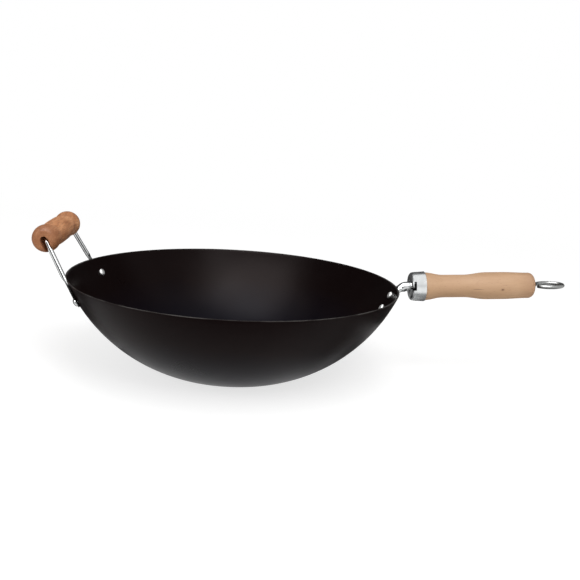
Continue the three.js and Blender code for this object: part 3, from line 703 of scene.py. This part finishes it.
def on_wall(turn_angle, drop):
    """A point on the outside of the wall, and the way it faces."""
    angle = rim_angle - drop / wall_radius
    radius, height = arc(wall_centre, wall_radius, angle, angle, 1)[0]
    point = Vector((radius * math.cos(turn_angle), radius * math.sin(turn_angle), height))
    level = math.sin(angle)
    facing = Vector((level * math.cos(turn_angle), level * math.sin(turn_angle), -math.cos(angle)))
    return point, facing


near_seat = on_wall(math.pi + LUG_SPREAD, LUG_DROP)
for rivet, node, seat, finish in (
    (upper_rivet, "handle_rivet_upper", on_wall(0.0, UPPER_RIVET_DROP), rivet_steel),
    (lower_rivet, "handle_rivet_lower", on_wall(0.0, UPPER_RIVET_DROP + RIVET_PITCH), rivet_steel),
    # Painted shade: the near rivet takes the darker wire finish for the shade beside the lug.
    (near_rivet, "helper_rivet_near", near_seat, wire_steel),
    (far_rivet, "helper_rivet_far", on_wall(math.pi - LUG_SPREAD, LUG_DROP), rivet_steel),
):
    point, facing = seat
    settle(rivet, Matrix.Translation(point) @ facing.to_track_quat("Z", "Y").to_matrix().to_4x4())
    dress(rivet, finish, "rivet_steel", "pan", node)

# %% [markdown]
# ## Drawing out a rod
# The rod and the wire of the short handle are round for most of their length and hammered flat at the
# ends. A curve with a bevel gives a round wire quickly, but it can't go flat. So a circle is added and
# extruded from one ring to the next, and each new ring is given its own width, thickness and place.
# The hanging eye is drawn out in the same way.

# %% Rings along a rod
ROUND = 2.0
FLAT = 6.0
ROD_SIDES = 40


def ring(centre, across, through, half_width, half_thickness, squareness):
    """Points of one section: an oval when it is ROUND, and a flat with rounded edges when it is FLAT."""
    points = []
    for i in range(ROD_SIDES):
        angle = FULL_TURN * i / ROD_SIDES
        side = math.copysign(abs(math.cos(angle)) ** (2 / squareness), math.cos(angle))
        face = math.copysign(abs(math.sin(angle)) ** (2 / squareness), math.sin(angle))
        points.append(centre + across * (half_width * side) + through * (half_thickness * face))
    return points


def draw_out(name, rings):
    """A rod through rings of points, extruded from a circle."""
    clear_selection()
    bpy.ops.mesh.primitive_circle_add(vertices=ROD_SIDES, radius=SEED_SIZE, fill_type="NGON")
    piece = bpy.context.object
    piece.name = name
    bpy.ops.object.mode_set(mode="EDIT")
    mesh = bmesh.from_edit_mesh(piece.data)
    places = [corner.co.copy() for corner in mesh.verts]
    for step, points in enumerate(rings):
        if step:
            bpy.ops.mesh.extrude_region_move()
        mesh = bmesh.from_edit_mesh(piece.data)
        picked = [corner for corner in mesh.verts if corner.select]
        for old, new in zip(places, points):
            nearest = min(picked, key=lambda corner: (corner.co - old).length_squared)
            picked.remove(nearest)
            nearest.co = new
        places = points
        bmesh.update_edit_mesh(piece.data)
    bpy.ops.mesh.select_all(action="SELECT")
    bpy.ops.mesh.normals_make_consistent(inside=False)
    bpy.ops.object.mode_set(mode="OBJECT")
    return piece


print("rods ready")

# %% [markdown]
# ## The rod of the long handle
# A steel rod is hammered flat and riveted to the wall, then bends out over the rim and runs into the
# handle along its axis. Its inner face lies on the wall, so the rings are placed by the distance
# along that face: along the wall's arc, round the bend, and then straight.

# %% Bend of the rod
TANG_RADIUS = 0.0051
TANG_BEND = 0.008
TANG_LENGTH = 0.046

face_radius = wall_radius + GAP
bend_radius = TANG_BEND + TANG_RADIUS
along = Vector((math.cos(HANDLE_RISE), 0, math.sin(HANDLE_RISE)))
up = Vector((-along.z, 0, along.x))
wall_middle = Vector((wall_centre[0], 0, wall_centre[1]))
top = HANDLE_START + up * TANG_RADIUS
from_wall = top - up * bend_radius - wall_middle
ahead = from_wall.dot(along)
slide = -ahead + math.sqrt(ahead ** 2 - from_wall.length_squared + (face_radius + bend_radius) ** 2)
bend_centre = wall_middle + from_wall + along * slide
leave_angle = math.atan2(bend_centre.x - wall_middle.x, wall_middle.z - bend_centre.z)
upper_angle = rim_angle - UPPER_RIVET_DROP / wall_radius
leave = (leave_angle - upper_angle) * face_radius
bend_end = leave + (leave_angle - HANDLE_RISE) * bend_radius
rod_end = bend_end + TANG_LENGTH - slide
print("the rod bends by", round(math.degrees(leave_angle - HANDLE_RISE), 1), "degrees")

# %% Rod of the long handle
TANG_TAPER = 0.011
PAD_WIDTH = 0.018
PAD_STEPS = 12
TAPER_STEPS = 12
BEND_STEPS = 16

flat_end = RIVET_HEAD_RADIUS + GAP


def ease(start, stop, share):
    """A smooth step between two sizes."""
    share = min(max(share, 0.0), 1.0)
    return start + (stop - start) * (1 - math.cos(math.pi * share)) / 2


def tang_ring(distance, half_width=None):
    """The rod's section at a distance along its inner face, from the upper rivet."""
    if distance < leave:
        slope = upper_angle + distance / face_radius
        face = wall_middle + Vector((math.sin(slope), 0, -math.cos(slope))) * face_radius
    else:
        slope = max(leave_angle - (distance - leave) / bend_radius, HANDLE_RISE)
        face = bend_centre + Vector((-math.sin(slope), 0, math.cos(slope))) * bend_radius
        face += along * max(distance - bend_end, 0.0)
    share = (distance - flat_end) / TANG_TAPER
    half_thickness = ease(TANG_PAD / 2, TANG_RADIUS, share)
    away = Vector((math.sin(slope), 0, -math.cos(slope)))
    width = half_width if half_width else ease(PAD_WIDTH / 2, TANG_RADIUS, share)
    middle = face + away * half_thickness
    return ring(middle, Vector((0, -1, 0)), away, width, half_thickness, ease(FLAT, ROUND, share))


pad_radius = PAD_WIDTH / 2
rings = []
for i in range(1, PAD_STEPS + 1):
    angle = math.pi / 2 * i / PAD_STEPS
    rings.append(tang_ring(-RIVET_PITCH - pad_radius * math.cos(angle), pad_radius * math.sin(angle)))
stops = [-RIVET_PITCH / 2, 0.0, rod_end]
stops += [flat_end + TANG_TAPER * i / TAPER_STEPS for i in range(TAPER_STEPS + 1)]
stops += [leave + (bend_end - leave) * i / BEND_STEPS for i in range(BEND_STEPS + 1)]
rings += [tang_ring(stop) for stop in sorted(stops)]
tang = draw_out("handle_rod", rings)
dress(tang, wire_steel, "bright_steel", "pan", "handle_tang")

# %% [markdown]
# ## The ferrule
# A pressed steel cup holds the front of the grip. Its front edge is rounded, and it widens a little
# to the back. On each side it has a slot like a letter L for the pin in the rod: the pin goes in at
# the front, and a turn of the handle locks it. The cup is turned on the lathe. The slots are cut
# with booleans, by a bar for the mouth and by a short turn of a square section for the locking run.

# %% Ferrule
FERRULE_LENGTH = 0.016
FERRULE_FRONT = 0.0155
FERRULE_REAR = 0.0162
FERRULE_ROUND = 0.004
FERRULE_SHEET = 0.0008
REAR_LIP = 0.0003
CORNER_STEPS = 10
FERRULE_STEPS = 128


def ferrule_corner(inset):
    """The rounded front edge of the cup, or the same edge inside its sheet."""
    centre = (FERRULE_FRONT - FERRULE_ROUND, FERRULE_ROUND)
    return arc(centre, FERRULE_ROUND - inset, 0, math.pi / 2, CORNER_STEPS)


lie_along = Matrix.Rotation(math.pi / 2, 4, "Y")
handle_lathe = handle_place @ lie_along
hole = TANG_RADIUS + GAP
outline = [(hole, FERRULE_SHEET), (hole, 0.0)] + ferrule_corner(0.0)
outline += [(FERRULE_REAR, FERRULE_LENGTH - REAR_LIP), (FERRULE_REAR - REAR_LIP, FERRULE_LENGTH)]
outline += [(FERRULE_REAR - FERRULE_SHEET, FERRULE_LENGTH)]
outline += list(reversed(ferrule_corner(FERRULE_SHEET))) + [(hole, FERRULE_SHEET)]
ferrule = turn("steel_ferrule", outline, FERRULE_STEPS, handle_lathe)
print("the cup has", len(ferrule.data.polygons), "faces before its slots")

# %% Slots of the ferrule
PIN_SETBACK = 0.0038
SLOT_HALF = 0.0013
LOCK_TURN = math.radians(26)
RUN_STEPS = 24


def cut_away(piece, cutter):
    """Takes the cutter's shape out of a piece and deletes the cutter."""
    add_modifier(piece, "BOOLEAN", object=cutter, operation="DIFFERENCE", solver="EXACT")
    bpy.data.objects.remove(cutter)


reach = 2 * FERRULE_REAR
clear_selection()
bpy.ops.mesh.primitive_cube_add(size=1, scale=(2 * PIN_SETBACK, 2 * reach, 2 * SLOT_HALF))
mouth = settle(bpy.context.object, handle_place @ Matrix.Diagonal((*bpy.context.object.scale, 1)))
cut_away(ferrule, mouth)
spare = SLOT_HALF / FERRULE_FRONT
slot_front = PIN_SETBACK - SLOT_HALF
slot_back = PIN_SETBACK + SLOT_HALF
square = [(hole, slot_front), (reach, slot_front), (reach, slot_back), (hole, slot_back), (hole, slot_front)]
for half in (0.0, math.pi):
    start = Matrix.Rotation(half - math.pi / 2 + spare, 4, "X")
    run = turn("locking_run", square, RUN_STEPS, handle_place @ start @ lie_along, LOCK_TURN + 2 * spare)
    cut_away(ferrule, run)
dress(ferrule, bright_steel, "bright_steel", "long_handle", "ferrule")

# %% [markdown]
# ## Lamps and the ferrule
# A mirror shows the lamps too. The tall lamp and the wide one are there for the bowl and the wood,
# and their mirror image would bleach the ferrule. Weaker lamps would leave the bowl flat. Light linking
# is kinder: it names what a lamp leaves out, so the ferrule mirrors the white room, the cards and the
# weak lamp.

# %% Lamps that leave the ferrule out
left_out = bpy.data.collections.new("left_out_of_lamps")
left_out.objects.link(ferrule)
left_out.collection_objects[0].light_linking.link_state = "EXCLUDE"
for light in (front, sheen):
    light.light_linking.receiver_collection = left_out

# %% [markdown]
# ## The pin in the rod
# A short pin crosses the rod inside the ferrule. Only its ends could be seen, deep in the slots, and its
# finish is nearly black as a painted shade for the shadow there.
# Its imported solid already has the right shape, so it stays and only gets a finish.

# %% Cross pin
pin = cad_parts["cross_pin"]
pin.data.materials.clear()
pin.data.materials.append(pin_steel)
print("cross pin keeps its packed shape")

# %% [markdown]
# ## The beech grip
# The grip is turned to fit a hand: it narrows to a waist behind the ferrule, swells to the palm, and
# narrows again to a rounded end. Each stretch eases from one radius to the next, which is how a
# turner's gouge leaves it. The holes for the rod and the hanging eye are part of the outline.

# %% Beech grip
NECK_LENGTH = 0.021
WAIST_LENGTH = 0.022
FLARE_LENGTH = 0.026
PALM_LENGTH = 0.017
TAIL_LENGTH = 0.035
WAIST_RADIUS = 0.0123
PALM_RADIUS = 0.0148
TAIL_RADIUS = 0.0139
TAIL_ROUND = 0.006
EYE_WIRE = 0.0021
EYE_SHANK = 0.030
END_STEPS = 12
LATHE_STEPS = 96

grip_front = PIN_SETBACK + SLOT_HALF + GAP
front_radius = FERRULE_FRONT - FERRULE_SHEET - GAP
neck_radius = FERRULE_REAR - FERRULE_SHEET - GAP
outline = [(0.0, TANG_LENGTH + GAP), (hole, TANG_LENGTH + GAP), (hole, grip_front)]
outline += [(front_radius, grip_front), (neck_radius, FERRULE_LENGTH)]
reached = FERRULE_LENGTH
radius = neck_radius
for length, next_radius, steps in (
    (NECK_LENGTH, WAIST_RADIUS, 14),
    (WAIST_LENGTH, WAIST_RADIUS, 4),
    (FLARE_LENGTH, PALM_RADIUS, 16),
    (PALM_LENGTH, PALM_RADIUS, 4),
    (TAIL_LENGTH - TAIL_ROUND, TAIL_RADIUS, 12),
):
    for i in range(1, steps + 1):
        outline.append((ease(radius, next_radius, i / steps), reached + length * i / steps))
    reached += length
    radius = next_radius
outline += arc((TAIL_RADIUS - TAIL_ROUND, reached), TAIL_ROUND, math.pi / 2, math.pi, END_STEPS)[1:]
grip_end = reached + TAIL_ROUND
eye_hole = EYE_WIRE + GAP
eye_hole_end = grip_end - EYE_SHANK - GAP
outline += [(eye_hole, grip_end), (eye_hole, eye_hole_end), (0.0, eye_hole_end)]
grip = turn("beech_grip", outline, LATHE_STEPS, handle_lathe)
dress(grip, pale_beech, "pale_beech", "long_handle", "handle_grip")

# %% [markdown]
# ## The hanging eye
# One wire is screwed into the end of the grip and bent round into a flat oval eye, until its cut end
# meets the shank again. The path is drawn as points: along the shank, and then round the oval. The
# last points stop short of the shank by a hair, as the cut end of a real eye does.

# %% Hanging eye
EYE_LENGTH = 0.034
EYE_WIDTH = 0.026
EYE_STANDOFF = 0.0012
EYE_LEAVE = 0.001
EYE_FIRST = math.radians(16)
EYE_LAST = math.radians(336)
SHANK_STEPS = 8
EYE_STEPS = 72


def wire_rings(points, radius, through):
    """Round rings along a run of points."""
    rings = []
    for i, point in enumerate(points):
        along = (points[min(i + 1, len(points) - 1)] - points[max(i - 1, 0)]).normalized()
        through = (through - along * through.dot(along)).normalized()
        rings.append(ring(point, through.cross(along), through, radius, radius, ROUND))
    return rings


eye_start = grip_end + EYE_STANDOFF + EYE_WIRE
half_length = EYE_LENGTH / 2 - EYE_WIRE
half_width = EYE_WIDTH / 2 - EYE_WIRE
run = [Vector((grip_end - EYE_SHANK * (1 - i / SHANK_STEPS), 0, 0)) for i in range(SHANK_STEPS)]
run.append(Vector((grip_end - EYE_LEAVE, 0, 0)))
for i in range(EYE_STEPS + 1):
    angle = EYE_FIRST + (EYE_LAST - EYE_FIRST) * i / EYE_STEPS
    run.append(Vector((eye_start + half_length * (1 - math.cos(angle)), half_width * math.sin(angle), 0)))
run = [handle_place @ point for point in run]
eye = draw_out("hanging_eye_wire", wire_rings(run, EYE_WIRE, Vector((0, 0, 1))))
dress(eye, eye_steel, "bright_steel", "long_handle", "hanging_eye")

# %% [markdown]
# ## The wire of the short handle
# A wire bail: a flat lug riveted to the wall on each side, a leg that leans out past the rim, and a
# straight run through the wooden spool. The lug narrows to the wire's width below the rim, stays flat
# until it is past the rim, and then becomes round. Only the near half is worked out. The far half is
# the same rings with Y turned round, in the other order, so both meet in the middle of the spool.

# %% Lug of the short handle
HELPER_REACH = 0.0114
HELPER_RISE = 0.0416
LEG_SPACING = 0.111
LUG_WIDTH = 0.011
LUG_STEPS = 10

seat_point, seat_facing = near_seat
lug_middle = seat_point + seat_facing * (GAP + WIRE_LUG / 2)
helper_middle = Vector((-RIM_RADIUS - HELPER_REACH, 0, BOWL_DEPTH + HELPER_RISE))
corner = Vector((helper_middle.x, -LEG_SPACING / 2, helper_middle.z))
share = (BOWL_DEPTH - lug_middle.z) / (corner.z - lug_middle.z)
pass_y = lug_middle.y + (corner.y - lug_middle.y) * share
pass_radius = RIM_RADIUS + (WIRE_LUG / 2 + GAP) / math.sin(rim_angle)
leg_pass = Vector((-math.sqrt(pass_radius ** 2 - pass_y ** 2), pass_y, BOWL_DEPTH))
up_wall = leg_pass - seat_point
up_wall = (up_wall - seat_facing * up_wall.dot(seat_facing)).normalized()
lug_across = seat_facing.cross(up_wall)
lug_radius = LUG_WIDTH / 2
near_half = []
for i in range(1, LUG_STEPS + 1):
    angle = math.pi / 2 * i / LUG_STEPS
    middle = lug_middle - up_wall * (lug_radius * math.cos(angle))
    width = lug_radius * math.sin(angle)
    near_half.append(ring(middle, lug_across, seat_facing, width, WIRE_LUG / 2, FLAT))
print("the round end of a lug has", len(near_half), "rings")

# %% Wire of the short handle
HELPER_WIRE = 0.0024
LEG_BEND = 0.007
LUG_TAPER = 0.009
NARROW_STEPS = 8

leg_way = (corner - leg_pass).normalized()
back = -leg_way
on = (helper_middle - corner).normalized()
half_angle = back.angle(on) / 2
bend_middle = corner + (back + on).normalized() * (LEG_BEND / math.sin(half_angle))
bend_from = corner + back * (LEG_BEND / math.tan(half_angle)) - bend_middle
bend_axis = bend_from.cross(back)
lug_end = lug_middle + up_wall * (RIVET_HEAD_RADIUS + GAP)
run = [lug_end.lerp(leg_pass, i / NARROW_STEPS) for i in range(NARROW_STEPS)]
run += [leg_pass + leg_way * (LUG_TAPER * i / TAPER_STEPS) for i in range(TAPER_STEPS + 1)]
for i in range(BEND_STEPS + 1):
    turned_arm = Matrix.Rotation(-(math.pi - 2 * half_angle) * i / BEND_STEPS, 3, bend_axis) @ bend_from
    run.append(bend_middle + turned_arm)
run.append(helper_middle)
through = seat_facing
for i, point in enumerate(run):
    before = (point - run[i - 1]).normalized() if i else Vector()
    after = (run[i + 1] - point).normalized() if i + 1 < len(run) else Vector()
    along = (before + after).normalized()
    through = (through - along * through.dot(along)).normalized()
    share = (i - NARROW_STEPS) / TAPER_STEPS
    width = ease(lug_radius, HELPER_WIRE, i / NARROW_STEPS)
    half_thickness = ease(WIRE_LUG / 2, HELPER_WIRE, share)
    squareness = ease(FLAT, ROUND, share)
    near_half.append(ring(point, through.cross(along), through, width, half_thickness, squareness))
far_half = [[Vector((p.x, -p.y, p.z)) for p in points] for points in reversed(near_half[:-1])]
helper_wire = draw_out("helper_bail", near_half + far_half)
dress(helper_wire, bail_steel, "bright_steel", "pan", "helper_wire")

# %% [markdown]
# ## The wooden spool
# The spool has a bulb at each end, a groove beside each bulb, and a barrel between them. It is bored
# through for the wire, and a slot at each end lets the leg out, so the wire could be sprung in. The
# outline is worked out for one half and turned over for the other. The slots are cut with booleans.

# %% Wooden spool
SPOOL_LENGTH = 0.123
SPOOL_BULB = 0.0136
SPOOL_BARREL = 0.0130
SPOOL_GROOVE = 0.0117
SPOOL_BULB_LENGTH = 0.026
SPOOL_BULB_SWELL = 0.0143
SPOOL_END = 0.0075
SPOOL_PLAY = 0.0008
BARREL_STEPS = 14
SWELL_STEPS = 12
BULB_STEPS = 14

half_spool = SPOOL_LENGTH / 2
groove = half_spool - SPOOL_BULB_LENGTH
widest = groove + SPOOL_BULB_SWELL
bore = HELPER_WIRE + GAP + SPOOL_PLAY
half = []
for i in range(BARREL_STEPS + 1):
    share = i / BARREL_STEPS
    half.append((ease(SPOOL_BARREL, SPOOL_GROOVE, share ** 2), groove * share))
for i in range(1, SWELL_STEPS + 1):
    share = i / SWELL_STEPS
    half.append((ease(SPOOL_GROOVE, SPOOL_BULB, share), groove + SPOOL_BULB_SWELL * share))
for i in range(1, BULB_STEPS + 1):
    angle = math.pi / 2 * i / BULB_STEPS
    radius = SPOOL_END + (SPOOL_BULB - SPOOL_END) * math.cos(angle)
    half.append((radius, widest + (half_spool - widest) * math.sin(angle)))
lower = [(r, -h) for r, h in reversed(half[1:])]
outline = [(bore, half_spool), (bore, -half_spool)] + lower + half + [(bore, half_spool)]
spool_middle = helper_middle - Vector((0, 0, SPOOL_PLAY))
spool_place = Matrix.Translation(spool_middle)
spool = turn("helper_spool_grip", outline, LATHE_STEPS, spool_place @ Matrix.Rotation(-math.pi / 2, 4, "X"))
print("the spool has", len(spool.data.polygons), "faces before its slots")

# %% Slots of the spool
SLOT_PLAY = 0.0026

leg_lean = math.atan2(leg_pass.x - corner.x, corner.z - leg_pass.z)
spare_turn = math.asin((SLOT_PLAY / 2 - SPOOL_PLAY * math.sin(leg_lean)) / SPOOL_BULB)
slot_width = 2 * (HELPER_WIRE + GAP) + SLOT_PLAY
slot_start = LEG_SPACING / 2 - LEG_BEND
slot_depth = half_spool - slot_start + GAP
for side in (-1, 1):
    clear_selection()
    bpy.ops.mesh.primitive_cube_add(size=1)
    where = spool_place @ Matrix.Rotation(spare_turn - leg_lean, 4, "Y")
    where = where @ Matrix.Translation((0, side * (slot_start + slot_depth / 2), -SPOOL_BULB))
    where = where @ Matrix.Diagonal((slot_width, slot_depth, 2 * SPOOL_BULB, 1))
    cut_away(spool, settle(bpy.context.object, where))
dress(spool, brown_wood, "brown_wood", "helper_spool", "helper_grip")
